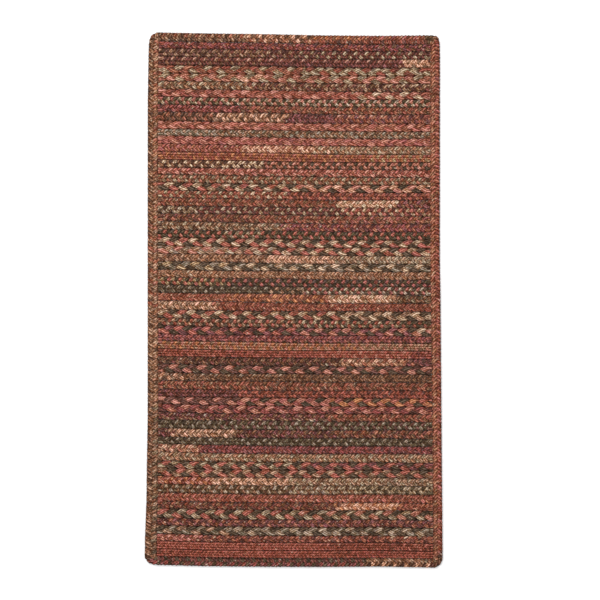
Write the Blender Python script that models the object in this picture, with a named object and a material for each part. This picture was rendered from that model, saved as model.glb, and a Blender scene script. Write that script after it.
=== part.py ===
# Braided rug, nominally 27 by 48 inches: straight braids laid side by side and sewn at their edges,
# inside one border braid that runs round the rug. Metres, +Z up. The origin is on the floor under the
# middle of the rug, +Y runs along it, and braid_01 lies at the +Y end.
import math
from itertools import groupby

import bmesh
import bpy

# Driving dimensions
OVERALL_LENGTH = 1.227
THICKNESS = 0.0095
GAP = 0.0003            # between two pieces that lie edge to edge
TOP_BORDER = 0.0204     # width of the border braid across the +Y end
BOTTOM_BORDER = 0.0200  # and across the -Y end
END_TAPER = 0.004       # stretch over which a braid's end draws in
END_SHARE = 0.80        # how much of its width and height is left at its end
ROW_WAVER = 0.0006      # how far a seam between two braids wanders
INNER_CORNER = 0.002    # radius where the border braid turns round the field
CORNER_STEPS = 5

# The rug's long edges. from_top is the distance down from the +Y end, left and right are the edges' X,
# and left_border and right_border the widths of the border braid there.
SIDES = {
    "from_top": (0.000, 0.060, 0.160, 0.520, 0.620, 0.890, 0.980, 1.070, 1.160, 1.227),
    "left": (-0.3310, -0.3327, -0.3343, -0.3345, -0.3345, -0.3345, -0.3363, -0.3373, -0.3407, -0.3416),
    "right": (0.3340, 0.3350, 0.3350, 0.3350, 0.3368, 0.3391, 0.3398, 0.3407, 0.3414, 0.3416),
    "left_border": (0.0236, 0.0238, 0.0240, 0.0242, 0.0245, 0.0250, 0.0258, 0.0265, 0.0278, 0.0280),
    "right_border": (0.0215, 0.0218, 0.0222, 0.0222, 0.0222, 0.0220, 0.0220, 0.0222, 0.0224, 0.0224),
}
# The rug's short edges. across is X, and the drop and the rise are how far the edge lies inside the
# overall length there. Every braid has a section at each of these places.
ENDS = {
    "across": (-0.340, -0.200, -0.060, 0.070, 0.200, 0.340),
    "top_drop": (0.0000, 0.0024, 0.0042, 0.0072, 0.0085, 0.0074),
    "bottom_rise": (0.0080, 0.0040, 0.0024, 0.0021, 0.0028, 0.0000),
}
# Outer radius of each corner
CORNERS = {"top_left": 0.022, "top_right": 0.013, "bottom_left": 0.022, "bottom_right": 0.023}

# A braid's cross-section: share of its width, share of its thickness
CROWN_TOP = ((0.00, 0.30), (0.00, 0.70), (0.13, 0.92), (0.34, 1.00), (0.66, 1.00), (0.87, 0.92), (1.00, 0.70))

# The braids from the +Y end: node, width before they are sewn up, main colour. Two lines with one node
# are one braid that turns back and lies beside itself.
BRAIDS = (
    ("braid_01", 0.0160, "plum"),
    ("braid_02", 0.0183, "green"),
    ("braid_03", 0.0195, "maroon"),
    ("braid_04_05", 0.0183, "rust"),
    ("braid_04_05", 0.0183, "rust"),
    ("braid_06", 0.0183, "sage"),
    ("braid_07", 0.0183, "coral"),
    ("braid_08", 0.0172, "green"),
    ("braid_09", 0.0172, "plum"),
    ("braid_10", 0.0206, "sage"),
    ("braid_11", 0.0183, "coral"),
    ("braid_12", 0.0160, "sage"),
    ("braid_13", 0.0183, "coral"),
    ("braid_14", 0.0183, "plum"),
    ("braid_15", 0.0183, "coral"),
    ("braid_16", 0.0172, "green"),
    ("braid_17", 0.0172, "rust"),
    ("braid_18", 0.0176, "sage"),
    ("braid_19", 0.0179, "coral"),
    ("braid_20", 0.0172, "rust"),
    ("braid_21", 0.0183, "rust"),
    ("braid_22", 0.0176, "maroon"),
    ("braid_23", 0.0185, "maroon"),
    ("braid_24", 0.0188, "brown"),
    ("braid_25", 0.0183, "green"),
    ("braid_26_27", 0.0183, "charcoal"),
    ("braid_26_27", 0.0183, "charcoal"),
    ("braid_28", 0.0183, "brown"),
    ("braid_29", 0.0183, "green"),
    ("braid_30", 0.0183, "brown"),
    ("braid_31_32", 0.0172, "charcoal"),
    ("braid_31_32", 0.0172, "charcoal"),
    ("braid_33", 0.0195, "rust"),
    ("braid_34", 0.0195, "rust"),
    ("braid_35", 0.0199, "charcoal"),
    ("braid_36", 0.0174, "coral"),
    ("braid_37", 0.0188, "charcoal"),
    ("braid_38", 0.0160, "plum"),
    ("braid_39_40", 0.0179, "coral"),
    ("braid_39_40", 0.0176, "coral"),
    ("braid_41", 0.0183, "brown"),
    ("braid_42", 0.0183, "charcoal"),
    ("braid_43", 0.0183, "brown"),
    ("braid_44", 0.0197, "rust"),
    ("braid_45", 0.0169, "maroon"),
    ("braid_46_47", 0.0183, "coral"),
    ("braid_46_47", 0.0183, "coral"),
    ("braid_48", 0.0172, "maroon"),
    ("braid_49", 0.0195, "green"),
    ("braid_50", 0.0195, "maroon"),
    ("braid_51", 0.0172, "green"),
    ("braid_52", 0.0183, "plum"),
    ("braid_53", 0.0195, "sage"),
    ("braid_54_55", 0.0172, "charcoal"),
    ("braid_54_55", 0.0183, "charcoal"),
    ("braid_56", 0.0183, "brown"),
    ("braid_57", 0.0195, "green"),
    ("braid_58", 0.0195, "rust"),
    ("braid_59", 0.0172, "maroon"),
    ("braid_60", 0.0217, "charcoal"),
    ("braid_61", 0.0172, "maroon"),
    ("braid_62", 0.0195, "charcoal"),
    ("braid_63", 0.0160, "maroon"),
    ("braid_64_65", 0.0183, "coral"),
    ("braid_64_65", 0.0172, "coral"),
)
BORDER_NODE = "border_braid"

YARN_COLOURS = {
    "plum": (0.250, 0.065, 0.085),
    "green": (0.085, 0.080, 0.055),
    "maroon": (0.150, 0.045, 0.042),
    "rust": (0.280, 0.085, 0.050),
    "sage": (0.290, 0.230, 0.140),
    "coral": (0.420, 0.130, 0.090),
    "brown": (0.220, 0.110, 0.065),
    "charcoal": (0.055, 0.045, 0.045),
    "border": (0.250, 0.105, 0.070),
}
YARN_ROUGHNESS = 0.9
YARN_METALLIC = 0.0


def clear_scene():
    for thing in list(bpy.data.objects):
        bpy.data.objects.remove(thing, do_unlink=True)


def read_off(table, by, column, at):
    """The value in the column where the table's column named by reaches at, straight between its rows."""
    places, values = table[by], table[column]
    at = min(max(at, places[0]), places[-1])
    for low, high, start, end in zip(places, places[1:], values, values[1:]):
        if at <= high:
            return start + (end - start) * (at - low) / (high - low)
    return values[-1]


def side(column, y):
    return read_off(SIDES, "from_top", column, OVERALL_LENGTH / 2 - y)


def left_edge(y):
    return side("left", y)


def right_edge(y):
    return side("right", y)


def left_seam(y):
    return left_edge(y) + side("left_border", y)


def right_seam(y):
    return right_edge(y) - side("right_border", y)


def top_edge(x):
    return OVERALL_LENGTH / 2 - read_off(ENDS, "across", "top_drop", x)


def bottom_edge(x):
    return -OVERALL_LENGTH / 2 + read_off(ENDS, "across", "bottom_rise", x)


def top_seam(x):
    return top_edge(x) - TOP_BORDER


def bottom_seam(x):
    return bottom_edge(x) + BOTTOM_BORDER


def row_seam(number, x):
    """Y of the seam under braid number, counted from the +Y end; seam 0 is the border's."""
    widths = [width for _, width, _ in BRAIDS]
    share = sum(widths[:number]) / sum(widths)
    top, bottom = top_seam(x) - GAP / 2, bottom_seam(x) + GAP / 2
    held = math.sin(math.pi * share)  # the border holds the outer seams straight
    waver = math.sin(9.0 * x + 2.4 * number) + 0.6 * math.sin(21.0 * x + 1.1 * number)
    return top + (bottom - top) * share + ROW_WAVER * held * waver


def yarn(colour):
    material = bpy.data.materials.get(f"{colour}_yarn")
    if material:
        return material
    material = bpy.data.materials.new(f"{colour}_yarn")
    material.use_nodes = True
    shader = material.node_tree.nodes["Principled BSDF"]
    shader.inputs["Base Color"].default_value = (*YARN_COLOURS[colour], 1.0)
    shader.inputs["Roughness"].default_value = YARN_ROUGHNESS
    shader.inputs["Metallic"].default_value = YARN_METALLIC
    return material


def ring_of_edges(bm, section):
    corners = [bm.verts.new(point) for point in section]
    return [bm.edges.new((a, b)) for a, b in zip(corners, corners[1:] + corners[:1])]


def loft(name, sections, colour, closed):
    """A solid through the sections: closed into a ring, or capped at its two ends."""
    bm = bmesh.new()
    rings = [ring_of_edges(bm, section) for section in sections]
    for before, after in zip(rings, rings[1:] + (rings[:1] if closed else [])):
        bmesh.ops.bridge_loops(bm, edges=before + after)
    if not closed:
        for ring in (rings[0], rings[-1]):
            bmesh.ops.contextual_create(bm, geom=ring)
    bmesh.ops.recalc_face_normals(bm, faces=bm.faces)
    mesh = bpy.data.meshes.new(name)
    bm.to_mesh(mesh)
    bm.free()
    mesh.shade_smooth()
    mesh.set_sharp_from_angle(angle=math.radians(35))
    mesh.materials.append(yarn(colour))
    body = bpy.data.objects.new(name, mesh)
    bpy.context.scene.collection.objects.link(body)
    return body


def crowned_section(strips, along):
    """The outline across braids that lie side by side. strips holds the two seams of each, as shares of
    along, which turns a share and a height into a point."""
    over = []
    for low, high in strips:
        crown = [(low + (high - low) * share, height * THICKNESS) for share, height in CROWN_TOP]
        over += crown[2:] if over else crown
    last_place = over[-1][0]
    under = [(place, THICKNESS - height) for place, height in reversed(over[2:-1])]
    outline = over + [(last_place, THICKNESS * CROWN_TOP[0][1])] + under
    return [along(place, height) for place, height in outline]


def braid_section(first, last, x, share_left):
    """The section across braids first to last at x, drawn in to share_left of its full size."""
    strips = []
    for number in range(first, last + 1):
        strips.append((row_seam(number - 1, x), row_seam(number, x)))
    outer, inner = strips[0][0] - GAP / 2, strips[-1][1] + GAP / 2
    strips[0] = (outer, strips[0][1])
    strips[-1] = (strips[-1][0], inner)
    middle = (outer + inner) / 2

    def point(y, z):
        draw = 1.0 - (1.0 - share_left) / len(strips)
        return x, middle + (y - middle) * draw, THICKNESS / 2 + (z - THICKNESS / 2) * share_left

    return crowned_section(strips, point)


def braid_body(name, first, last, colour):
    high = row_seam(first - 1, 0.0)
    low = row_seam(last, 0.0)
    start = max(left_seam(high), left_seam(low)) + GAP
    end = min(right_seam(high), right_seam(low)) - GAP
    full = [start + END_TAPER, *ENDS["across"][1:-1], end - END_TAPER]
    sections = [braid_section(first, last, start, END_SHARE)]
    sections += [braid_section(first, last, x, 1.0) for x in full]
    sections.append(braid_section(first, last, end, END_SHARE))
    return loft(name, sections, colour, closed=False)


def field_braids():
    bodies, number = [], 0
    for name, lines in groupby(BRAIDS, key=lambda line: line[0]):
        lines = list(lines)
        bodies.append(braid_body(name, number + 1, number + len(lines), lines[0][2]))
        number += len(lines)
    return bodies


def corner_places(name, x_edge, x_seam, y_edge, y_seam, end_y, inward, start_angle):
    """Pairs of an outer and an inner point round one corner of the border, a quarter turn clockwise."""
    outer = (x_edge(end_y), y_edge(x_edge(end_y)))
    inner_y = y_seam(x_seam(end_y))
    inner = (x_seam(inner_y), inner_y)
    pairs = []
    for step in range(CORNER_STEPS + 1):
        angle = start_angle - math.pi / 2 * step / CORNER_STEPS
        pair = []
        for corner, radius in ((outer, CORNERS[name]), (inner, INNER_CORNER)):
            centre = (corner[0] + inward[0] * radius, corner[1] + inward[1] * radius)
            pair.append((centre[0] + radius * math.cos(angle), centre[1] + radius * math.sin(angle)))
        pairs.append(tuple(pair))
    return pairs


def short_side(edge, seam):
    """Pairs of an outer and an inner point along a short side of the border, towards +X."""
    return [((x, edge(x)), (x, seam(x))) for x in ENDS["across"][1:-1]]


def long_side(edge, seam):
    """The same along a long side, towards -Y."""
    heights = [OVERALL_LENGTH / 2 - distance for distance in SIDES["from_top"][1:-1]]
    return [((edge(y), y), (seam(y), y)) for y in heights]


def border_body():
    left, right = (left_edge, left_seam), (right_edge, right_seam)
    top, bottom = (top_edge, top_seam), (bottom_edge, bottom_seam)
    top_y, bottom_y = OVERALL_LENGTH / 2, -OVERALL_LENGTH / 2
    quarter = math.pi / 2
    pairs = [
        *corner_places("top_left", *left, *top, top_y, (1, -1), 2 * quarter),
        *short_side(*top),
        *corner_places("top_right", *right, *top, top_y, (-1, -1), quarter),
        *long_side(*right),
        *corner_places("bottom_right", *right, *bottom, bottom_y, (-1, 1), 0.0),
        *reversed(short_side(*bottom)),
        *corner_places("bottom_left", *left, *bottom, bottom_y, (1, 1), -quarter),
        *reversed(long_side(*left)),
    ]

    def border_section(outside, inside):
        def point(share, height):
            x, y = (start + (end - start) * share for start, end in zip(outside, inside))
            return x, y, height

        return crowned_section([(0.0, 1.0)], point)

    sections = [border_section(outside, inside) for outside, inside in pairs]
    return loft(BORDER_NODE, sections, "border", closed=True)


clear_scene()
field_braids()
border_body()
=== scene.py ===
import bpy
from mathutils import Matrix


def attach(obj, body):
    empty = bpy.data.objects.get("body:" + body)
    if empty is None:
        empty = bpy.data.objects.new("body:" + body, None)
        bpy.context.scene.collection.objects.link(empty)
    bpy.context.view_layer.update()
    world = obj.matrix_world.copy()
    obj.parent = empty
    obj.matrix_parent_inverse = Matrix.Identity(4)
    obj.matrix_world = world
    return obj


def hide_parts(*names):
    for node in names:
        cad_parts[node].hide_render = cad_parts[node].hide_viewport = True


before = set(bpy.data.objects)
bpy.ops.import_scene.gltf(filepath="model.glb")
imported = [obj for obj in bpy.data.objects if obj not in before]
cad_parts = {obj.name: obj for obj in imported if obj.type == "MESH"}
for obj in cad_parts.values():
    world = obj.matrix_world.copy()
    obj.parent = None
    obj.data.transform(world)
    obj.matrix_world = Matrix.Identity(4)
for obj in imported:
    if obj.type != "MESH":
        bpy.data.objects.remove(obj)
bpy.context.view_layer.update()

import math
from itertools import count, groupby

import bmesh
import bpy
import numpy as np
from mathutils import Vector, noise

# Sizes in metres, the same as the solids'. The rug lies along Y, and its rows run across it, along X.
rug = {"length": 1.227, "thickness": 0.0095, "gap": 0.0003, "topBorder": 0.0204, "bottomBorder": 0.0200,
       "waver": 0.0006, "innerCorner": 0.002, "cornerSteps": 14}
# its long edges at distances from the top, and the widths of the border along them
sides = {
    "fromTop": (0.000, 0.060, 0.160, 0.520, 0.620, 0.890, 0.980, 1.070, 1.160, 1.227),
    "left": (-0.3310, -0.3327, -0.3343, -0.3345, -0.3345, -0.3345, -0.3363, -0.3373, -0.3407, -0.3416),
    "right": (0.3340, 0.3350, 0.3350, 0.3350, 0.3368, 0.3391, 0.3398, 0.3407, 0.3414, 0.3416),
    "leftBorder": (0.0236, 0.0238, 0.0240, 0.0242, 0.0245, 0.0250, 0.0258, 0.0265, 0.0278, 0.0280),
    "rightBorder": (0.0215, 0.0218, 0.0222, 0.0222, 0.0222, 0.0220, 0.0220, 0.0222, 0.0224, 0.0224),
}
# how far its short edges lie inside its length, at places across
ends = {
    "across": (-0.340, -0.200, -0.060, 0.070, 0.200, 0.340),
    "topDrop": (0.0000, 0.0024, 0.0042, 0.0072, 0.0085, 0.0074),
    "bottomRise": (0.0080, 0.0040, 0.0024, 0.0021, 0.0028, 0.0000),
}
corners = {"topLeft": 0.022, "topRight": 0.013, "bottomLeft": 0.022, "bottomRight": 0.023}  # outer radii
# the waves in a seam between two rows: how fast each runs along the seam and from row to row, and its share
seamWaves = ((9.0, 2.4, 1.0), (21.0, 1.1, 0.6))

# Each dyed wool: its colour, the colour of its flecks, and how much of it is flecks
wools = {
    "plum": ("814b46", "50302c", 0.34), "magenta": ("8a4840", "5f3732", 0.30),
    "rose": ("9b5b4e", "713f39", 0.27), "pink": ("b0826c", "90604c", 0.24),
    "maroon": ("754236", "4d3028", 0.36), "brick": ("8d4d3b", "63392c", 0.32),
    "rust": ("9b5f48", "6e4232", 0.34), "orange": ("b4754f", "885037", 0.30),
    "coral": ("a35e4d", "7a4539", 0.28), "poppy": ("9e5645", "733e31", 0.28),
    "orangeBrown": ("9f6d50", "6e4a36", 0.34), "salmon": ("af7460", "895245", 0.26),
    "peach": ("c29276", "97664c", 0.28), "cream": ("ba9a7c", "856851", 0.32),
    "greyCream": ("a68c73", "735e4f", 0.32), "gold": ("ae8d6a", "765e43", 0.32),
    "mustard": ("987a58", "65523b", 0.32), "sage": ("a1876b", "675340", 0.32),
    "moss": ("8c7764", "5e503c", 0.34), "tan": ("a27a5f", "6d503d", 0.34),
    "olive": ("7d654d", "514031", 0.34), "brown": ("7e553d", "50382a", 0.34),
    "darkBrown": ("654432", "432d22", 0.36), "darkOlive": ("614730", "3f2f1f", 0.32),
    "darkGreen": ("55442f", "3a2e20", 0.30), "charcoal": ("564333", "392d21", 0.28),
    "navy": ("554036", "382b24", 0.28), "plumBrown": ("6e473c", "4b3229", 0.32),
}

# How each kind of braid is plaited: the length in which its strands come round once, how wide and thick a
# strand is, the share by which it would reach past the seam, how sharply it bends back and dips, how dark the
# painted shade at its rim is, the points of its line in a turn and of its ring, the yarns round it, how often
# they wind round it in a metre, and how far its turns stray
plaits = {
    "long": {"turn": 0.0642, "wide": 0.0112, "thick": 0.0048, "reach": 1.34, "bend": 0.80, "dip": 2.0,
             "rim": 0.80, "steps": 15, "ring": 12, "yarns": 6, "wind": 0, "stray": 0.20},
    "tight": {"turn": 0.0249, "wide": 0.0086, "thick": 0.0046, "reach": 1.25, "bend": 0.50, "dip": 1.4,
              "rim": 0.85, "steps": 10, "ring": 10, "yarns": 5, "wind": 0, "stray": 0.15},
    "tweed": {"turn": 0.0300, "wide": 0.0092, "thick": 0.0046, "reach": 1.22, "bend": 0.80, "dip": 1.4,
              "rim": 0.80, "steps": 10, "ring": 10, "yarns": 5, "wind": 20, "stray": 0.60},
    "chain": {"turn": 0.0249, "wide": 0.0086, "thick": 0.0046, "reach": 1.25, "bend": 0.50, "dip": 1.4,
              "rim": 0.85, "steps": 10, "ring": 14, "yarns": 6, "wind": 0, "stray": 0.15},
    "chunky": {"turn": 0.0249, "wide": 0.0090, "thick": 0.0048, "reach": 1.25, "bend": 0.80, "dip": 1.5,
               "rim": 0.80, "steps": 10, "ring": 10, "yarns": 5, "wind": 0, "stray": 0.25},
}

# The rows from the top: the solid, the row's width before it is sewn up, the kind of braid, where its
# first strand comes up, the wools of its three strands with the places along the row where they change,
# and a wool that shows at its upper or lower edge from one place to another
rowChart = (
    ("braid_01", 0.0160, "tweed", 0.0101, "magenta", "plum 0.198 brown", "brick 0.166 plum", ""),
    ("braid_02", 0.0183, "tight", 0.0183, "tan 0.015 sage", "darkBrown -0.173 brown -0.063 maroon",
     "plumBrown -0.173 maroon", ""),
    ("braid_03", 0.0195, "tight", 0.0229, "brown -0.077 plum 0.248 peach 0.315 plum",
     "maroon 0.244 peach 0.310 maroon", "maroon 0.253 tan 0.319 plum", "top pink -0.310 0.244"),
    ("braid_04_05", 0.0183, "long", 0.0609, "sage", "rust 0.026 sage", "brick", ""),
    ("braid_04_05", 0.0183, "long", 0.0287, "sage", "rust -0.132 peach -0.058 rust", "salmon", ""),
    ("braid_06", 0.0183, "tweed", 0.0101, "orangeBrown -0.095 brown", "brown -0.107 maroon",
     "sage -0.088 tan", "top cream 0.095 0.312"),
    ("braid_07", 0.0183, "long", 0.0626, "coral 0.129 cream", "salmon", "brick", ""),
    ("braid_08", 0.0172, "tight", 0.0045, "darkGreen", "sage -0.157 greyCream", "rose -0.157 salmon", ""),
    ("braid_09", 0.0172, "tweed", 0.0101, "rose -0.111 rust", "magenta -0.120 brown", "maroon -0.102 brick",
     "top orange 0.072 0.198"),
    ("braid_10", 0.0206, "chunky", 0.0037, "brown -0.182 peach -0.015 plum 0.095 brick",
     "rust -0.187 tan -0.008 plum 0.086 rust", "darkBrown -0.164 brown -0.020 maroon 0.099 plum",
     "top pink 0.095 0.244"),
    ("braid_11", 0.0183, "long", 0.0562, "coral", "salmon", "rust", ""),
    ("braid_12", 0.0160, "chunky", 0.0249, "tan", "moss", "moss -0.180 brown", ""),
    ("braid_13", 0.0183, "long", 0.0402, "coral", "rose", "salmon", ""),
    ("braid_14", 0.0183, "chunky", 0.0111, "rose -0.123 peach 0.045 sage", "rust -0.129 peach 0.083 tan",
     "brick -0.116 rust 0.040 orangeBrown", ""),
    ("braid_15", 0.0183, "chain", 0.0026, "coral", "orange", "rust 0.175 gold", ""),
    ("braid_16", 0.0172, "tight", 0.0026, "cream -0.065 salmon", "brown -0.164 cream -0.072 rust",
     "darkBrown -0.058 charcoal", ""),
    ("braid_17", 0.0172, "tweed", 0.0287, "coral", "brick", "salmon", "low olive -0.310 0.312"),
    ("braid_18", 0.0176, "tight", 0.0163, "sage", "rust", "brown", ""),
    ("braid_19", 0.0179, "long", 0.0585, "charcoal", "coral 0.015 salmon", "cream 0.015 peach", ""),
    ("braid_20", 0.0172, "tight", 0.0068, "sage -0.111 cream -0.015 poppy", "brick -0.015 maroon", "rust",
     ""),
    ("braid_21", 0.0183, "tweed", 0.0172, "brick 0.099 peach 0.237 plum", "brown 0.093 cream 0.241 brown",
     "rust 0.106 peach 0.232 brick", ""),
    ("braid_22", 0.0176, "tight", 0.0137, "greyCream -0.219 sage 0.106 cream",
     "sage -0.223 maroon 0.115 coral", "darkBrown -0.210 maroon", ""),
    ("braid_23", 0.0185, "tweed", 0.0010, "maroon -0.100 brick 0.129 rose", "rust", "brown", ""),
    ("braid_24", 0.0188, "tweed", 0.0218, "sage -0.024 rust", "brown -0.033 plum", "tan -0.015 magenta",
     ""),
    ("braid_25", 0.0183, "tight", 0.0045, "coral", "darkGreen", "charcoal -0.164 sage -0.072 charcoal", ""),
    ("braid_26_27", 0.0183, "long", 0.0069, "coral", "cream", "charcoal", ""),
    ("braid_26_27", 0.0183, "long", 0.0584, "salmon -0.145 coral", "greyCream -0.049 cream",
     "tan -0.063 charcoal", ""),
    ("braid_28", 0.0183, "chunky", 0.0208, "tan -0.061 peach 0.090 tan 0.164 sage",
     "orangeBrown -0.068 peach 0.097 tan", "brown -0.054 tan 0.086 sage", ""),
    ("braid_29", 0.0183, "long", 0.0539, "charcoal", "moss", "gold -0.157 cream", ""),
    ("braid_30", 0.0183, "tweed", 0.0101, "orangeBrown", "tan", "orangeBrown", ""),
    ("braid_31_32", 0.0172, "tight", 0.0148, "coral -0.141 rose", "mustard -0.155 navy", "darkGreen", ""),
    ("braid_31_32", 0.0172, "tight", 0.0122, "moss -0.054 tan 0.022 rose", "charcoal 0.010 greyCream",
     "charcoal", ""),
    ("braid_33", 0.0195, "tweed", 0.0101, "rust 0.074 peach 0.232 brown",
     "brick -0.157 orange 0.067 peach 0.239 olive", "rust 0.081 cream 0.225 brown",
     "low darkOlive -0.088 0.072"),
    ("braid_34", 0.0195, "tweed", 0.0193, "peach -0.180 brick", "tan -0.187 rust", "tan -0.173 brick", ""),
    ("braid_35", 0.0199, "long", 0.0447, "charcoal", "coral 0.118 tan", "cream", ""),
    ("braid_36", 0.0174, "tight", 0.0159, "brick -0.145 coral 0.244 brick",
     "tan 0.015 sage 0.248 darkGreen", "charcoal", ""),
    ("braid_37", 0.0188, "long", 0.0585, "coral 0.015 salmon", "charcoal", "plum 0.271 cream", ""),
    ("braid_38", 0.0160, "tight", 0.0160, "magenta", "plum", "rose", "low darkOlive -0.310 0.317"),
    ("braid_39_40", 0.0179, "chain", 0.0206, "salmon", "orange 0.152 tan", "tan", ""),
    ("braid_39_40", 0.0176, "chain", 0.0049, "coral 0.083 salmon 0.267 rose",
     "brick 0.015 poppy 0.271 magenta", "poppy", ""),
    ("braid_41", 0.0183, "tweed", 0.0101, "maroon 0.109 peach 0.253 plum",
     "brown 0.102 tan 0.248 rust 0.280 plum", "darkBrown 0.115 rust 0.255 plumBrown", ""),
    ("braid_42", 0.0183, "long", 0.0470, "salmon", "charcoal", "plumBrown", ""),
    ("braid_43", 0.0183, "tweed", 0.0010, "peach -0.251 brown", "tan -0.258 brown", "brown",
     "top greyCream -0.237 0.015"),
    ("braid_44", 0.0197, "tweed", 0.0124, "rust", "brown", "brick", ""),
    ("braid_45", 0.0169, "tight", 0.0071, "plum -0.123 brick", "maroon -0.129 poppy", "maroon", ""),
    ("braid_46_47", 0.0183, "long", 0.0196, "salmon 0.083 orange", "plumBrown -0.145 rose 0.129 coral",
     "plumBrown -0.111 charcoal", ""),
    ("braid_46_47", 0.0183, "long", 0.0103, "salmon", "magenta", "maroon", ""),
    ("braid_48", 0.0172, "tweed", 0.0287, "maroon 0.083 rust", "plum 0.074 brick", "brown",
     "low cream -0.310 0.083"),
    ("braid_49", 0.0195, "tight", 0.0073, "moss", "darkGreen", "charcoal -0.168 plumBrown", ""),
    ("braid_50", 0.0195, "tweed", 0.0101, "maroon -0.278 peach -0.134 maroon 0.088 rust",
     "plum -0.283 tan -0.129 plum 0.106 brown", "maroon -0.271 tan -0.139 brown 0.106 maroon", ""),
    ("braid_51", 0.0172, "tight", 0.0096, "moss", "darkGreen", "charcoal", ""),
    ("braid_52", 0.0183, "tweed", 0.0055, "peach -0.219 magenta", "tan -0.221 magenta", "rust -0.207 plum",
     ""),
    ("braid_53", 0.0195, "tweed", 0.0287, "sage", "tan", "orangeBrown", ""),
    ("braid_54_55", 0.0172, "long", 0.0081, "charcoal", "coral", "sage 0.015 plum", ""),
    ("braid_54_55", 0.0183, "long", 0.0425, "charcoal", "coral", "tan", ""),
    ("braid_56", 0.0183, "tweed", 0.0147, "salmon -0.189 peach -0.013 tan",
     "orange -0.196 peach -0.006 sage", "brick -0.182 tan", ""),
    ("braid_57", 0.0195, "tight", 0.0073, "greyCream 0.129 sage", "darkOlive -0.008 sage",
     "brown 0.138 darkGreen", ""),
    ("braid_58", 0.0195, "tweed", 0.0032, "brick", "coral", "rust", ""),
    ("braid_59", 0.0172, "tweed", 0.0264, "brick 0.099 peach 0.239 rust", "brown 0.093 orange 0.244 rust",
     "maroon 0.106 peach 0.234 brick", ""),
    ("braid_60", 0.0217, "long", 0.0241, "coral 0.015 salmon", "charcoal", "sage", ""),
    ("braid_61", 0.0172, "tweed", 0.0101, "maroon", "rust", "plum", ""),
    ("braid_62", 0.0195, "long", 0.0241, "charcoal", "moss", "tan -0.145 greyCream", ""),
    ("braid_63", 0.0160, "tweed", 0.0170, "salmon -0.214 maroon", "rose -0.200 rust", "brick",
     "top cream 0.198 0.301"),
    ("braid_64_65", 0.0183, "chain", 0.0049, "coral", "coral 0.083 brick", "poppy 0.083 brick", ""),
    ("braid_64_65", 0.0172, "chain", 0.0206, "brick -0.180 coral 0.083 poppy", "poppy 0.083 brick", "poppy",
     ""),
)


def readOff(table, by, column, at):
    return float(np.interp(at, table[by], table[column]))


def side(column, y):
    return readOff(sides, "fromTop", column, rug["length"] / 2 - y)


def leftEdge(y):
    return side("left", y)


def rightEdge(y):
    return side("right", y)


def leftSeam(y):
    return leftEdge(y) + side("leftBorder", y)


def rightSeam(y):
    return rightEdge(y) - side("rightBorder", y)


def topEdge(x):
    return rug["length"] / 2 - readOff(ends, "across", "topDrop", x)


def bottomEdge(x):
    return -rug["length"] / 2 + readOff(ends, "across", "bottomRise", x)


def topSeam(x):
    return topEdge(x) - rug["topBorder"]


def bottomSeam(x):
    return bottomEdge(x) + rug["bottomBorder"]


rowWidths = [line[1] for line in rowChart]


def rowSeam(number, x):
    # the seam under a row, and the border's for number 0
    share = sum(rowWidths[:number]) / sum(rowWidths)
    top, bottom = topSeam(x) - rug["gap"] / 2, bottomSeam(x) + rug["gap"] / 2
    held = math.sin(math.pi * share)
    waver = sum(amount * math.sin(alongIt * x + fromRow * number) for alongIt, fromRow, amount in seamWaves)
    return top + (bottom - top) * share + rug["waver"] * held * waver


def linear(code):
    parts = [int(code[i:i + 2], 16) / 255 for i in (0, 2, 4)]
    return [part / 12.92 if part <= 0.04045 else ((part + 0.055) / 1.055) ** 2.4 for part in parts]


def woolAt(recipe, place):
    # a recipe is a wool, or wools with the places between them where one changes to the next
    words = recipe.split()
    name = words[0]
    for start, following in zip(words[1::2], words[2::2]):
        if place >= float(start):
            name = following
    return wools[name]


class Wire:
    # a shader socket that sums can be written with
    def __init__(self, tree, socket=None):
        self.tree, self.socket = tree, socket

    def add(self, kind, settings=None, inputs=None, output=0):
        node = self.tree.nodes.new("ShaderNode" + kind)
        for name, value in (settings or {}).items():
            setattr(node, name, value)
        for name, value in (inputs or {}).items():
            if isinstance(value, Wire):
                self.tree.links.new(value.socket, node.inputs[name])
            else:
                node.inputs[name].default_value = value
        return Wire(self.tree, node.outputs[output])

    def beside(self, output):
        # another socket of the same node
        return Wire(self.tree, self.socket.node.outputs[output])

    def reckon(self, operation, *values):
        return self.add("Math", {"operation": operation}, dict(enumerate(values)))

    def __add__(self, other):
        return self.reckon("ADD", self, other)

    def __sub__(self, other):
        return self.reckon("SUBTRACT", self, other)

    def __rsub__(self, other):
        return self.reckon("SUBTRACT", other, self)

    def __mul__(self, other):
        return self.reckon("MULTIPLY", self, other)

    def __truediv__(self, other):
        return self.reckon("DIVIDE", self, other)

    def __pow__(self, other):
        return self.reckon("POWER", self, other)

    def __abs__(self):
        return self.reckon("ABSOLUTE", self)

    __radd__, __rmul__ = __add__, __mul__

    def between(self, low, high):
        # 0 under low, 1 over high, smooth between
        return self.add("MapRange", {"interpolation_type": "SMOOTHSTEP"},
                        {"Value": self, "From Min": low, "From Max": high})

    def swings(self, amount):
        # a wave from 0 to 1 as light about 1
        return self * amount + (1 - amount / 2)


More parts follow.
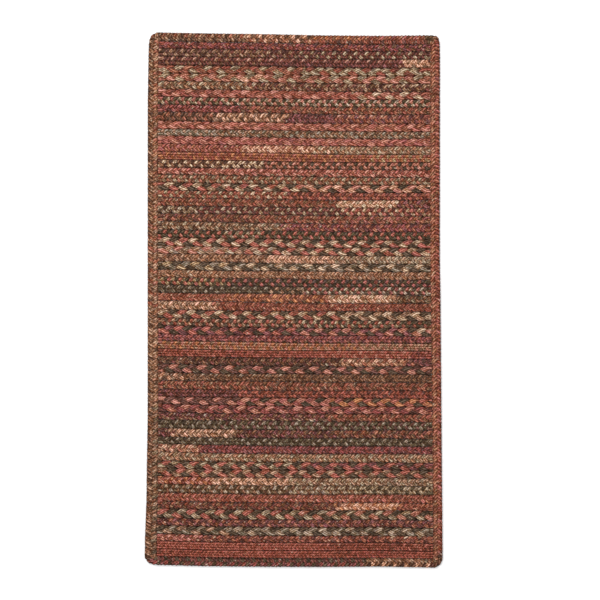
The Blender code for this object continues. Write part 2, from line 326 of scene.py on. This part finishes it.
# Patterns in the wool: the length of a spot along the yarn, how far on the next yarn's pattern is, its
# detail, how fast it changes across a yarn, and the heights of its noise between which it comes in. A
# fleck's length is its finish's own.
patterns = {
    "fleck": {"nextYarn": 5.3, "detail": 2.0, "across": 0.6, "low": 0.66, "high": 0.78},
    "speck": {"length": 0.004, "nextYarn": 8.9, "detail": 0.0, "across": 0.6, "low": 0.80, "high": 0.86},
    "tone": {"length": 0.030, "nextYarn": 3.7, "detail": 0.0, "across": 0.6, "low": 0.38, "high": 0.62},
    "streak": {"length": 0.0032, "nextYarn": 2.3, "detail": 1.0, "across": 0.6, "low": 0.36, "high": 0.64},
    "fibre": {"length": 0.006, "nextYarn": 6.1, "detail": 2.0, "across": 7.0, "low": 0.35, "high": 0.65},
    "drift": {"length": 0.060, "nextYarn": 0.9, "detail": 0.0, "across": 0.6},
}
yarnLook = {
    "plyLength": 0.0046, "plySlant": 0.9, "fuzzScale": 1700.0,  # the twist of a yarn, and its finest hairs
    "ply": 0.38, "streak": 0.72, "fibre": 0.40, "fuzz": 0.16,  # how much each changes the light
    "fleckShare": 0.62, "speckShare": 0.5, "speckColour": (0.46, 0.34, 0.22, 1),
    "hueDrift": 0.02, "creaseDrift": 0.10, "creaseSharpness": 4,
    # how strong the painted shade is, how bright the painted light is, and where its painted highlights are
    # rounded off
    "shadow": 0.93, "bright": 1.96, "brightest": 1.65, "roundOff": 0.8,
    # greenGlow and blueGlow make the painted shade warmer than the painted light
    "green": 0.93, "greenGlow": 1.42, "blue": 0.86, "blueGlow": 1.95,  # beside red, and how fast they fade
    "roughness": 0.92, "specular": 0.10, "sheen": 0.05, "sheenRoughness": 0.5,
}
yarnRelief = {"depth": 0.0016, "strength": 0.9, "crest": 0.75, "ply": 0.2, "fibre": 0.2, "fuzz": 0.2}
# What sets each kind's wool apart: the painted light left in the valleys between its yarns, how much its tone
# changes, the length of a fleck, how common light specks are, and how dark the painted shade in its creases
# is and how close together they are
finishes = {
    "long": {"name": "straightWool", "valley": 0.00, "tone": 0.42, "fleck": 0.012, "specks": 0.00,
             "creaseShade": 0.16, "creases": 1.0},
    "tight": {"name": "closeWool", "valley": 0.08, "tone": 0.36, "fleck": 0.006, "specks": 0.02,
              "creaseShade": 0.38, "creases": 1.0},
    "chain": {"name": "chainWool", "valley": 0.06, "tone": 0.30, "fleck": 0.006, "specks": 0.02,
              "creaseShade": 0.68, "creases": 1.5},
    "tweed": {"name": "tweedWool", "valley": 0.04, "tone": 0.46, "fleck": 0.006, "specks": 0.08,
              "creaseShade": 0.22, "creases": 1.0},
    "chunky": {"name": "loftyWool", "valley": 0.04, "tone": 0.46, "fleck": 0.007, "specks": 0.05,
               "creaseShade": 0.18, "creases": 1.0},
    "border": {"name": "borderWool", "valley": 0.08, "tone": 0.42, "fleck": 0.007, "specks": 0.06,
               "creaseShade": 0.20, "creases": 1.0},
}


def woolMaterial(finish):
    material = bpy.data.materials.new(finish["name"])
    material.use_nodes = True
    tree = material.node_tree
    shader = tree.nodes["Principled BSDF"]
    start = Wire(tree)
    along = start.add("SeparateXYZ", inputs={0: start.add("UVMap", {"uv_map": "spun"})}, output="X")
    around = along.beside("Y")
    yarn, acrossYarn = around.reckon("FLOOR", around), around.reckon("FRACT", around)
    dye = start.add("Attribute", {"attribute_name": "dye"})
    fleck = start.add("Attribute", {"attribute_name": "fleck"})
    shade = start.add("Attribute", {"attribute_name": "shade"}).beside("Fac")
    across = start.add("Attribute", {"attribute_name": "across"}).beside("Fac")

    def spots(pattern, length=None):
        look = patterns[pattern]
        place = start.add("CombineXYZ", inputs={
            0: along / (length or look["length"]),
            1: yarn * look["nextYarn"],
            2: acrossYarn * look["across"],
        })
        return start.add("TexNoise", {"noise_dimensions": "3D"},
                         {"Vector": place, "Scale": 1.0, "Detail": look["detail"]})

    def comesIn(pattern, noiseHere, sooner=0.0):
        look = patterns[pattern]
        return noiseHere.between(look["low"] - sooner, look["high"] - sooner)

    # the dye, with its flecks and specks and a slow drift of its hue
    isFleck = comesIn("fleck", spots("fleck", finish["fleck"]) + dye.beside("Alpha") * yarnLook["fleckShare"])
    isSpeck = comesIn("speck", spots("speck"), finish["specks"])
    drift = spots("drift") - 0.5
    spotted = start.add("Mix", {"data_type": "RGBA"}, {0: isFleck, 6: dye, 7: fleck}, 2)
    specked = start.add("Mix", {"data_type": "RGBA"},
                        {0: isSpeck * yarnLook["speckShare"], 6: spotted, 7: yarnLook["speckColour"]}, 2)
    drifted = start.add("HueSaturation", inputs={"Hue": drift * yarnLook["hueDrift"] + 0.5, "Color": specked})

    # the painted light and shade on it: bright yarn crests and dark valleys between them, their twist and
    # fibres, the painted shade down between the strands and at their rims, and the painted shade in the
    # creases between the strands
    crest = start.reckon("SINE", acrossYarn * math.pi)
    twist = (along / yarnLook["plyLength"] + acrossYarn * yarnLook["plySlant"]) * (2 * math.pi)
    ply = start.reckon("SINE", twist) * 0.5 + 0.5
    tone, streak, fibre = [comesIn(pattern, spots(pattern)) for pattern in ("tone", "streak", "fibre")]
    fuzz = start.add("TexNoise", {"noise_dimensions": "3D"},
                     {"Vector": start.add("TexCoord", output="Object"), "Scale": yarnLook["fuzzScale"],
                      "Detail": 2.0})
    # painted shade in the creases along the seams and between the strands
    fromSeam = abs(across + drift * yarnLook["creaseDrift"]) - 1
    creaseShade = abs(start.reckon("COSINE", fromSeam * (math.pi * finish["creases"])))
    creaseShade = creaseShade ** yarnLook["creaseSharpness"]
    paintedLight = crest * (1 - finish["valley"]) + finish["valley"]
    paintedLight = paintedLight * ply.swings(yarnLook["ply"]) * tone.swings(finish["tone"])
    paintedLight = paintedLight * streak.swings(yarnLook["streak"]) * fibre.swings(yarnLook["fibre"])
    paintedLight = paintedLight * fuzz.swings(yarnLook["fuzz"])
    # painted shade down between the strands and at their rims, from the shade attribute
    paintedLight = paintedLight * (shade * yarnLook["shadow"] + (1 - yarnLook["shadow"])) * yarnLook["bright"]
    paintedLight = paintedLight * (1 - creaseShade * finish["creaseShade"])
    # the painted highlights are rounded off
    paintedLight = start.reckon("SMOOTH_MIN", paintedLight, yarnLook["brightest"], yarnLook["roundOff"])
    # painted bounce light: wool in shadow is lit by the wool about it, so its darks are painted warmer than
    # its lights
    tint = start.add("CombineXYZ", inputs={0: paintedLight, 1: paintedLight ** yarnLook["greenGlow"] * yarnLook["green"],
                                           2: paintedLight ** yarnLook["blueGlow"] * yarnLook["blue"]})
    shaded = start.add("VectorMath", {"operation": "MULTIPLY"}, {0: drifted, 1: tint})
    tree.links.new(shaded.socket, shader.inputs["Base Color"])

    height = crest * yarnRelief["crest"] + ply * yarnRelief["ply"] + fibre * yarnRelief["fibre"]
    height = height + fuzz * yarnRelief["fuzz"]
    bump = start.add("Bump", inputs={"Strength": yarnRelief["strength"], "Distance": yarnRelief["depth"],
                                     "Height": height})
    tree.links.new(bump.socket, shader.inputs["Normal"])
    shader.inputs["Roughness"].default_value = yarnLook["roughness"]
    shader.inputs["Specular IOR Level"].default_value = yarnLook["specular"]
    shader.inputs["Sheen Weight"].default_value = yarnLook["sheen"]
    shader.inputs["Sheen Roughness"].default_value = yarnLook["sheenRoughness"]
    return material


materials = {kind: woolMaterial(finish) for kind, finish in finishes.items()}
print("wools dyed", len(wools))


# the shares of the braid's half width up to which a strand is left round and from which it bulges up, how
# much it bulges, and the room left over and under the rug
pressing = {"free": 0.88, "bulgeFrom": 0.5, "bulge": 0.40, "room": 0.00005}
# how the light fades down between the strands, and what is left of it where they are pressed together
hollows = {"least": 0.05, "lightFrom": 0.5, "pressedLight": 0.9}
# how full a strand's corners are, its thickness where it is thickest, how far round its turn the crown
# is, and how far towards the braid's edge an accent starts
strandLook = {"fullness": 0.62, "thickest": 1.06, "crown": 0.30 * math.pi, "accentFrom": 0.45}
# the room left in the flat map between two strands, at its rim, and for the cut end of a strand
flatMap = {"between": 0.03, "rim": 0.002, "cutEnd": 0.002}
# how fast each unevenness changes: along the braid, from row to row, and from strand to strand
unevenness = {"turns": (9, 3.1, 0), "strands": (40, 1.7, 4.1), "girth": (35, 2.3, 7.7), "dyeing": (60, 1, 1),
              "borderGirth": (1.9, 3.3, 0)}


def uneven(kind, at, row, strand=0):
    alongIt, fromRow, fromStrand = unevenness[kind]
    return noise.noise(Vector((at * alongIt, row * fromRow, strand * fromStrand)))


def zigzag(theta, bend):
    # across the braid from -1 to 1, straighter between its turns than a sine
    return math.asin(bend * math.sin(theta)) / math.asin(bend)


def lift(theta, dip):
    return math.tanh(dip * math.sin(2 * theta)) / math.tanh(dip)


def riseOf(plait):
    # how far a strand's middle rises and dips
    return (rug["thickness"] - plait["thick"] * strandLook["thickest"]) / 2


def strandProfile(kind):
    # a strand cut across: a flattened round with full corners
    curve = bpy.data.curves.new(kind + "Profile", "CURVE")
    curve.dimensions = "2D"
    plait = plaits[kind]
    spline = curve.splines.new("POLY")
    spline.points.add(plait["ring"] - 1)
    for i, point in enumerate(spline.points):
        angle = -2 * math.pi * i / plait["ring"]
        across, up = [math.copysign(abs(part) ** strandLook["fullness"], part)
                      for part in (math.cos(angle), math.sin(angle))]
        point.co = (across * plait["wide"] / 2, up * plait["thick"] / 2, 0, 1)
    spline.use_cyclic_u = True
    profile = bpy.data.objects.new(curve.name, curve)
    bpy.context.scene.collection.objects.link(profile)
    return profile


profiles = {kind: strandProfile(kind) for kind in plaits}


def aroundProfile(kind):
    # how far round the strand each point of its profile is
    points = [Vector(point.co[:2]) for point in profiles[kind].data.splines[0].points]
    return np.cumsum([0.0] + [(a - b).length for a, b in zip(points, points[1:] + points[:1])])


def girth(kind):
    return aroundProfile(kind)[-1]


def newStrand(accents=()):
    # what is told at each point of a strand's line: its radius and wool, and the braid's middle, outward way
    # and half width there
    columns = ("line", "radius", "dye", "fleck", "middle", "outward", "half")
    return {"accents": accents, **{column: [] for column in columns}}


def addPoint(strand, place, radius, wool, middle, outward, half):
    colour, fleckColour, share = wool
    values = {"line": place, "radius": radius, "dye": (*linear(colour), share), "fleck": linear(fleckColour),
              "middle": middle, "outward": outward, "half": half}
    for column, value in values.items():
        strand[column].append(value)


def finishStrand(strand):
    for column in ("dye", "fleck", "middle", "outward", "half"):
        strand[column] = np.array(strand[column], np.float32)
    return strand


def sweptMesh(name, kind, strands, closed):
    curve = bpy.data.curves.new(name, "CURVE")
    curve.dimensions, curve.twist_mode = "3D", "Z_UP"
    curve.bevel_mode, curve.bevel_object = "OBJECT", profiles[kind]
    curve.use_fill_caps = not closed
    for strand in strands:
        spline = curve.splines.new("POLY")
        spline.points.add(len(strand["line"]) - 1)
        spline.points.foreach_set("co", [n for point in strand["line"] for n in (*point, 1.0)])
        spline.points.foreach_set("radius", strand["radius"])
        spline.use_cyclic_u = closed
    holder = bpy.data.objects.new(name, curve)
    bpy.context.scene.collection.objects.link(holder)
    mesh = bpy.data.meshes.new_from_object(holder.evaluated_get(bpy.context.evaluated_depsgraph_get()))
    bpy.data.objects.remove(holder)
    bpy.data.curves.remove(curve)
    return mesh


def readValues(layer, name, length, width):
    values = np.empty(length * width, np.float32)
    layer.foreach_get(name, values)
    return values.reshape(-1, width)


def whereOnStrands(places, ring, counts, closed):
    # each vertex's strand, and the points of its line and its ring. The mesh has the strands' cut ends
    # first, whose vertices are as those at the same places, and then each strand's rings along it.
    caps = 0 if closed else 2 * len(counts) * ring
    strandOf = np.concatenate([np.zeros(caps, int)] + [np.full(n * ring, i) for i, n in enumerate(counts)])
    station = np.concatenate([np.zeros(caps, int)] + [np.repeat(np.arange(n), ring) for n in counts])
    turned = np.tile(np.arange(ring), len(places) // ring)
    isCap = np.arange(len(places)) < caps
    if caps:
        last = np.array(counts)[strandOf] - 1
        atEnds = np.flatnonzero(~isCap & ((station == 0) | (station == last)))
        apart = np.linalg.norm(places[:caps, None] - places[None, atEnds], axis=2)
        same = atEnds[apart.argmin(axis=1)]
        for values in (station, strandOf, turned):
            values[:caps] = values[same]
    return {"strand": strandOf, "station": station, "turned": turned, "isCap": isCap}


def offMiddle(places, strand, at):
    # how far towards the braid's edge, which is at 1 and -1
    return ((places[:, :2] - strand["middle"][at]) * strand["outward"][at]).sum(1) / strand["half"][at]


def dyeStrands(places, strands, where):
    dye = np.empty((len(places), 4), np.float32)
    fleck = np.ones((len(places), 4), np.float32)
    for i, strand in enumerate(strands):
        mine = where["strand"] == i
        at = where["station"][mine]
        dye[mine], fleck[mine, :3] = strand["dye"][at], strand["fleck"][at]
        x, off = places[mine, 0], offMiddle(places[mine], strand, at)
        for edge, wool, low, high in strand["accents"]:
            towards = off if edge == "top" else -off
            shown = (towards > strandLook["accentFrom"]) & (x > float(low)) & (x < float(high))
            chosen = np.flatnonzero(mine)[shown]
            colour, fleckColour, share = wools[wool]
            dye[chosen], fleck[chosen, :3] = (*linear(colour), share), linear(fleckColour)
    return dye, fleck


def pressStrands(places, strands, where):
    # what would stand out past the seam is pressed flat against the next row, and bulges up
    across, against = np.zeros(len(places), np.float32), np.zeros(len(places), np.float32)
    free, middleHeight = pressing["free"], rug["thickness"] / 2
    for i, strand in enumerate(strands):
        mine = where["strand"] == i
        at = where["station"][mine]
        off = offMiddle(places[mine], strand, at)
        past = np.maximum(np.abs(off) - free, 0.0)
        held = np.sign(off) * (free + (1 - free) * np.tanh(past / (1 - free)))
        moved = np.where(past > 0, held - off, 0.0) * strand["half"][at]
        places[mine, :2] += strand["outward"][at] * moved[:, None]
        across[mine] = np.clip(off, -1.0, 1.0)
        against[mine] = np.clip(past / (1 - free), 0.0, 1.0)
        near = np.clip((np.abs(off) - pressing["bulgeFrom"]) / (1 - pressing["bulgeFrom"]), 0.0, 1.0)
        places[mine, 2] = middleHeight + (places[mine, 2] - middleHeight) * (1 + pressing["bulge"] * near)
    places[:, 2] = np.clip(places[:, 2], pressing["room"], rug["thickness"] - pressing["room"])
    return across, against


def shadeOf(places, plait, turned, across, against):
    # painted shade: the wool is darkened down between the strands and at their rims, and on the border
    # towards the rug's edge
    outward = across.clip(0.0)
    sharpness = plait["rim"] + plait.get("gap", 0.0) * outward
    rim = np.abs(np.sin(2 * math.pi * turned / plait["ring"])) ** sharpness
    rim = np.maximum(rim, against * hollows["pressedLight"])
    height = np.abs(places[:, 2] / rug["thickness"] - 0.5) * 2
    lit = np.clip((height + hollows["least"]) / hollows["lightFrom"], 0.0, 1.0)
    return rim * lit * (1 - plait.get("outerDark", 0.0) * outward ** 2)


spunStart = count(0.0, 1.3)  # metres, so that no two strands have the same flecks


def mapStrands(mesh, kind, strands, where, closed):
    # one map in metres along and yarns round for the wool, and one that lays the strands out flat
    plait = plaits[kind]
    own = readValues(mesh.uv_layers[0].uv, "vector", len(mesh.loops), 2)
    vertexOf = np.empty(len(mesh.loops), np.int32)
    mesh.loops.foreach_get("vertex_index", vertexOf)
    faceStart, faceSides = np.empty((2, len(mesh.polygons)), np.int32)
    mesh.polygons.foreach_get("loop_start", faceStart)
    mesh.polygons.foreach_get("loop_total", faceSides)
    strandOf, station, turned, isCap = [values[vertexOf] for values in where.values()]
    lengths = [sum((Vector(a) - Vector(b)).length for a, b in zip(strand["line"], strand["line"][1:]))
               for strand in strands]
    folds = max(1, round(math.sqrt(np.mean(lengths) / (len(strands) * girth(kind)))))
    spun, flat = np.empty_like(own), np.empty_like(own)
    for i, strand in enumerate(strands):
        mine = strandOf == i
        line = np.array(strand["line"] + (strand["line"][:1] if closed else []))
        lengthAt = np.concatenate([[0.0], np.cumsum(np.linalg.norm(np.diff(line, axis=0), axis=1))])
        steps = len(line) - 1
        onLine = np.where(isCap, station, own[:, 0] * steps)
        at = onLine[mine]
        point = np.where(isCap, turned, own[:, 1] * plait["ring"])[mine]
        around = np.interp(point, np.arange(plait["ring"] + 1), aroundProfile(kind) / girth(kind))
        along = np.interp(at, np.arange(steps + 1), lengthAt)
        spun[mine, 0] = along + next(spunStart)
        spun[mine, 1] = around * plait["yarns"] + along * plait["wind"]
        # a long strand is laid out in as many folds as make the map about square
        perFold = math.ceil(steps / folds)
        faceAt = np.add.reduceat(onLine, faceStart) / faceSides
        fold = np.clip(np.floor(np.repeat(faceAt, faceSides)[mine] / perFold), 0, folds - 1)
        cutEnd = isCap[mine] * (turned[mine] % 2) * flatMap["cutEnd"]
        flat[mine, 0] = (at - fold * perFold) / perFold + cutEnd
        inFold = flatMap["between"] + (1 - 2 * flatMap["between"]) * around
        flat[mine, 1] = (i * folds + fold + inFold) / (len(strands) * folds)
    mesh.uv_layers[0].name = "spun"
    mesh.uv_layers[0].uv.foreach_set("vector", spun.ravel())
    flat = flat * (1 - 2 * flatMap["rim"]) + flatMap["rim"]
    mesh.uv_layers.new(name="OFBake").uv.foreach_set("vector", flat.ravel())
    return lengths


def braid(name, kind, strands, closed):
    # the strands as one mesh, with what their wool needs to know at each vertex, and their lengths
    mesh = sweptMesh(name, kind, strands, closed)
    places = readValues(mesh.vertices, "co", len(mesh.vertices), 3)
    where = whereOnStrands(places, plaits[kind]["ring"], [len(strand["line"]) for strand in strands], closed)
    dye, fleck = dyeStrands(places, strands, where)
    across, against = pressStrands(places, strands, where)
    mesh.vertices.foreach_set("co", places.ravel())
    shade = shadeOf(places, plaits[kind], where["turned"], across, against).astype(np.float32)
    for layerName, values in (("shade", shade), ("across", across)):
        mesh.attributes.new(layerName, "FLOAT", "POINT").data.foreach_set("value", values)
    for layerName, values in (("dye", dye), ("fleck", fleck)):
        mesh.attributes.new(layerName, "FLOAT_COLOR", "POINT").data.foreach_set("color", values.ravel())
    return mesh, mapStrands(mesh, kind, strands, where, closed)


def finishedPiece(name, meshes, material):
    bm = bmesh.new()
    for place, mesh in enumerate(meshes):
        # each row of a piece has its own share of the flat map
        flat = readValues(mesh.uv_layers["OFBake"].uv, "vector", len(mesh.loops), 2)
        flat[:, 1] = (flat[:, 1] + place) / len(meshes)
        mesh.uv_layers["OFBake"].uv.foreach_set("vector", flat.ravel())
        bm.from_mesh(mesh)
        bpy.data.meshes.remove(mesh)
    bmesh.ops.remove_doubles(bm, verts=bm.verts, dist=1e-6)
    bmesh.ops.recalc_face_normals(bm, faces=bm.faces)
    mesh = bpy.data.meshes.new(name)
    bm.to_mesh(mesh)
    bm.free()
    mesh.shade_smooth()
    mesh.materials.append(material)
    mesh.uv_layers.active = mesh.uv_layers["OFBake"]
    piece = bpy.data.objects.new(name, mesh)
    bpy.context.scene.collection.objects.link(piece)
    return piece


def declareCloth(piece, node, lengths):
    # hangs the piece on the root body and hides its solid; the strands' total length is worked out but not
    # used
    total = sum(lengths)
    piece = (piece, total / 3)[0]
    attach(piece, "root")
    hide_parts(node)


# How far a row's ends are tucked under the border, the length at its ends in which its strands come to
# lie side by side, the part of it where they are straight, how far apart they lie there, the room between
# rows, and how much three things stray: a strand's girth, its turns, and where its wool changes
rowLook = {"tuck": 0.0006, "endLength": 0.0075, "endStraight": 0.0028, "sideBySide": 0.62, "clear": 0.0001,
           "girthStray": 0.06, "strandStray": 0.4, "dyeStray": 0.006}


def rowReach(number):
    high, low = rowSeam(number - 1, 0.0), rowSeam(number, 0.0)
    start = max(leftSeam(high), leftSeam(low)) + rug["gap"] - rowLook["tuck"]
    end = min(rightSeam(high), rightSeam(low)) - rug["gap"] + rowLook["tuck"]
    return start, end


def swaysAt(x, number, plait, first):
    # how far round its turn each of the three strands is
    turned = 2 * math.pi * (x - first) / plait["turn"] + strandLook["crown"]
    turned += plait["stray"] * uneven("turns", x, number)
    stray = plait["stray"] * rowLook["strandStray"]
    return [turned - 2 * math.pi * k / 3 + stray * uneven("strands", x, number, k) for k in range(3)]


def sideBySide(across, half, places, share):
    # where the braid is cut off its strands lie side by side, in the order they come in
    order = sorted(places).index(across) - 1
    return across + (order * half * rowLook["sideBySide"] - across) * share


def rowStrands(number, kind, first, recipes, accent):
    plait, rise = plaits[kind], riseOf(plaits[kind])
    start, end = rowReach(number)
    steps = round((end - start) / plait["turn"] * plait["steps"])
    strands = []
    for k, recipe in enumerate(recipes):
        strand = newStrand([accent.split()] if accent and k == 0 else [])
        for i in range(steps + 1):
            x = start + (end - start) * i / steps
            fromEnd = min(x - start, end - x)
            flat = (rowLook["endLength"] - fromEnd) / (rowLook["endLength"] - rowLook["endStraight"])
            flat = min(1.0, max(0.0, flat))
            upper, lower = rowSeam(number - 1, x), rowSeam(number, x)
            middle, half = (upper + lower) / 2, (upper - lower - rowLook["clear"]) / 2
            plaited = min(max(x, start + rowLook["endLength"]), end - rowLook["endLength"])
            sways = swaysAt(plaited, number, plait, first)
            radius = 1 + rowLook["girthStray"] * uneven("girth", x, number, k)
            swing = half * plait["reach"] - plait["wide"] / 2 * radius
            places = [swing * zigzag(sway, plait["bend"]) for sway in sways]
            across, up = places[k], rise * lift(sways[k], plait["dip"])
            if flat:
                across = sideBySide(across, half, places, flat)
                up *= 1 - flat
            wool = woolAt(recipe, x + rowLook["dyeStray"] * uneven("dyeing", x, number, k))
            place = (x, middle + across, rug["thickness"] / 2 + up)
            addPoint(strand, place, radius, wool, (x, middle), (0.0, 1.0), half)
        strands.append(finishStrand(strand))
    return strands


number = 0
for node, lines in groupby(rowChart, key=lambda line: line[0]):
    meshes, lengths = [], []
    for _, _, kind, first, *recipes, accent in lines:
        number += 1
        strands = rowStrands(number, kind, first, recipes, accent)
        mesh, strandLengths = braid(f"row{number}", kind, strands, closed=False)
        meshes.append(mesh)
        lengths += strandLengths
    piece = finishedPiece(node.replace("braid", "row"), meshes, materials[kind])
    declareCloth(piece, node, lengths)


# The border is plaited as the rows are. gap and outerDark paint shade on its outer edge, between the strands
# and as a whole. It turns in a shorter length at a corner, and where a strand sways in past turnsIn its
# second wool shows.
border = {
    "plait": {"turn": 0.0252, "wide": 0.0098, "thick": 0.0048, "reach": 1.20, "bend": 0.78, "dip": 1.4,
              "rim": 1.3, "steps": 11, "ring": 10, "yarns": 5, "wind": 0, "stray": 0.30, "gap": 2.4,
              "outerDark": 0.25},
    "cornerTurn": 0.0225, "turnsIn": -0.1, "sideSteps": 240, "girthStray": 0.05, "strayShare": 0.5,
    "strayWaves": 37,
}
# the wools of its three strands towards the rug's edge, then those of the same three against the rows
borderWools = {
    "top": (("brown -0.107 peach 0.047 orange 0.150 rose 0.300 darkOlive",
             "rust -0.112 brown 0.040 rust 0.240 brick 0.300 darkOlive",
             "tan -0.100 orangeBrown 0.160 rust 0.305 brown"),
            ("tan -0.107 peach 0.047 rust 0.150 brick 0.300 darkOlive",
             "darkBrown -0.112 brown 0.040 brick 0.300 darkOlive",
             "brown -0.100 rust 0.052 plumBrown 0.305 brown")),
    "right": (("darkBrown -0.578 brick", "plumBrown -0.578 rose", "darkBrown -0.578 rust"),
              ("rust", "orangeBrown", "rust")),
    "bottom": (("plum 0.159 peach 0.318 darkBrown", "charcoal 0.165 darkBrown",
                "magenta 0.155 brown 0.312 plumBrown"),
               ("maroon 0.159 tan 0.300 brown", "charcoal 0.165 orangeBrown 0.300 brown",
                "maroon 0.155 brown 0.300 olive")),
    "left": (("brown -0.230 tan", "brown -0.020 rust 0.190 brown", "tan -0.020 brown"),
             ("brown -0.230 orangeBrown -0.024 tan", "olive -0.235 tan 0.190 orangeBrown",
              "tan -0.225 brown -0.024 rust")),
}
plaits["border"] = border["plait"]
profiles["border"] = strandProfile("border")


def cornerPairs(name, xEdge, xSeam, yEdge, ySeam, endY, inward, startAngle):
    # points round a corner, each on the rug's edge and on the seam against the rows
    outer = (xEdge(endY), yEdge(xEdge(endY)))
    innerY = ySeam(xSeam(endY))
    inner = (xSeam(innerY), innerY)
    pairs = []
    for step in range(rug["cornerSteps"] + 1):
        angle = startAngle - math.pi / 2 * step / rug["cornerSteps"]
        pair = []
        for corner, radius in ((outer, corners[name]), (inner, rug["innerCorner"])):
            pair += [corner[0] + inward[0] * radius + radius * math.cos(angle),
                     corner[1] + inward[1] * radius + radius * math.sin(angle)]
        pairs.append(pair)
    return pairs


def sidePairs(start, end, edge, seam, along):
    # from one corner's last pair to the next one's first
    pairs = []
    for i in range(1, border["sideSteps"]):
        t = i / border["sideSteps"]
        outer = start[along] + (end[along] - start[along]) * t
        inner = start[2 + along] + (end[2 + along] - start[2 + along]) * t
        if along == 0:
            pairs.append([outer, edge(outer), inner, seam(inner)])
        else:
            pairs.append([edge(outer), outer, seam(inner), inner])
    return pairs


def borderPath():
    # its pairs of points, the side that each is on and the length of a turn there
    quarter, topY, bottomY = math.pi / 2, rug["length"] / 2, -rug["length"] / 2
    turns = [
        cornerPairs("topLeft", leftEdge, leftSeam, topEdge, topSeam, topY, (1, -1), 2 * quarter),
        cornerPairs("topRight", rightEdge, rightSeam, topEdge, topSeam, topY, (-1, -1), quarter),
        cornerPairs("bottomRight", rightEdge, rightSeam, bottomEdge, bottomSeam, bottomY, (-1, 1), 0.0),
        cornerPairs("bottomLeft", leftEdge, leftSeam, bottomEdge, bottomSeam, bottomY, (1, 1), -quarter),
    ]
    between = [
        ("top", topEdge, topSeam, 0),
        ("right", rightEdge, rightSeam, 1),
        ("bottom", bottomEdge, bottomSeam, 0),
        ("left", leftEdge, leftSeam, 1),
    ]
    pairs, names, turn = [], [], []
    for i, (name, edge, seam, along) in enumerate(between):
        corner = turns[i]
        halfWay = len(corner) // 2
        pairs += corner
        names += [between[i - 1][0]] * halfWay + [name] * (len(corner) - halfWay)
        turn += [border["cornerTurn"]] * len(corner)
        straight = sidePairs(corner[-1], turns[(i + 1) % 4][0], edge, seam, along)
        pairs += straight
        names += [name] * len(straight)
        turn += [border["plait"]["turn"]] * len(straight)
    return np.array(pairs), names, np.array(turn)


def borderStrands():
    plait, rise = border["plait"], riseOf(border["plait"])
    pairs, names, turn = borderPath()
    pairs = np.vstack([pairs, pairs[:1]])
    names, turn = names + names[:1], np.append(turn, turn[0])
    centre = (pairs[:, :2] + pairs[:, 2:]) / 2
    steps = np.linalg.norm(np.diff(centre, axis=0), axis=1)
    phase = np.concatenate([[0.0], np.cumsum(steps * 2 / (turn[1:] + turn[:-1]))])
    turnsInAll = round(phase[-1])
    phase *= turnsInAll / phase[-1]
    points = turnsInAll * plait["steps"]
    strands = []
    for k in range(3):
        strand = newStrand()
        for i in range(points):
            at = turnsInAll * i / points
            pair = np.array([np.interp(at, phase, pairs[:, column]) for column in range(4)])
            name = names[int(np.searchsorted(phase, at))]
            outer, inner = Vector(pair[:2]), Vector(pair[2:])
            middle, outward = (outer + inner) / 2, (outer - inner).normalized()
            width = (outer - inner).length - rug["gap"]
            theta = 2 * math.pi * (at - k / 3) + strandLook["crown"]
            wave = math.sin(2 * math.pi * at / turnsInAll * border["strayWaves"] + k)
            theta += plait["stray"] * border["strayShare"] * wave
            radius = 1 + border["girthStray"] * uneven("borderGirth", at, k)
            swing = width / 2 * plait["reach"] - plait["wide"] / 2 * radius
            sway = zigzag(theta, plait["bend"])
            point = middle + outward * swing * sway
            along = point.x if name in ("top", "bottom") else point.y
            wool = woolAt(borderWools[name][0 if sway > border["turnsIn"] else 1][k], along)
            place = (point.x, point.y, rug["thickness"] / 2 + rise * lift(theta, plait["dip"]))
            addPoint(strand, place, radius, wool, middle, outward, width / 2)
        strands.append(finishStrand(strand))
    return strands


borderMesh, borderLengths = braid("border", "border", borderStrands(), closed=True)
borderPiece = finishedPiece("edge_braid", [borderMesh], materials["border"])
declareCloth(borderPiece, "border_braid", borderLengths)
print("border braided")

for profile in profiles.values():
    bpy.data.objects.remove(profile)


# The camera hangs over the rug, and shown is the width that it sees at the height of the rug's top
studio = {
    "cameraX": 0.01476, "cameraY": 0.0001, "distance": 6.0, "shown": 1.37328, "sensor": 36,
    "sky": 0.93, "key": 79, "softbox": (-0.8, 1.1, 3.4), "softboxSize": 2.5,
    "floorSize": 6.0, "floorDrop": 0.0002, "floorColour": (0.94, 0.94, 0.94, 1), "floorRoughness": 0.9,
}

floorMesh = bpy.data.meshes.new("floor")
bm = bmesh.new()
bmesh.ops.create_grid(bm, x_segments=1, y_segments=1, size=studio["floorSize"])
bm.to_mesh(floorMesh)
bm.free()
floor = bpy.data.objects.new("floor", floorMesh)
floor.location.z = -studio["floorDrop"]
bpy.context.scene.collection.objects.link(floor)
paper = bpy.data.materials.new("paleFloor")
paper.use_nodes = True
paper.node_tree.nodes["Principled BSDF"].inputs["Base Color"].default_value = studio["floorColour"]
paper.node_tree.nodes["Principled BSDF"].inputs["Roughness"].default_value = studio["floorRoughness"]
floorMesh.materials.append(paper)

world = bpy.data.worlds.new("studio")
world.use_nodes = True
world.node_tree.nodes["Background"].inputs["Color"].default_value = (1, 1, 1, 1)
world.node_tree.nodes["Background"].inputs["Strength"].default_value = studio["sky"]
bpy.context.scene.world = world

lamp = bpy.data.lights.new("softbox", "AREA")
lamp.shape, lamp.size, lamp.energy = "SQUARE", studio["softboxSize"], studio["key"]
softbox = bpy.data.objects.new("softbox", lamp)
softbox.location = studio["softbox"]
softbox.rotation_euler = (Vector((0, 0, 0)) - softbox.location).to_track_quat("-Z", "Y").to_euler()
bpy.context.scene.collection.objects.link(softbox)

lens = bpy.data.cameras.new("camera")
lens.sensor_width = studio["sensor"]
lens.lens = studio["sensor"] * (studio["distance"] - rug["thickness"]) / studio["shown"]
camera = bpy.data.objects.new("camera", lens)
camera.location = (studio["cameraX"], studio["cameraY"], studio["distance"])
bpy.context.scene.collection.objects.link(camera)
bpy.context.scene.camera = camera
bpy.context.scene.view_settings.view_transform = "Standard"
print("studio lit")
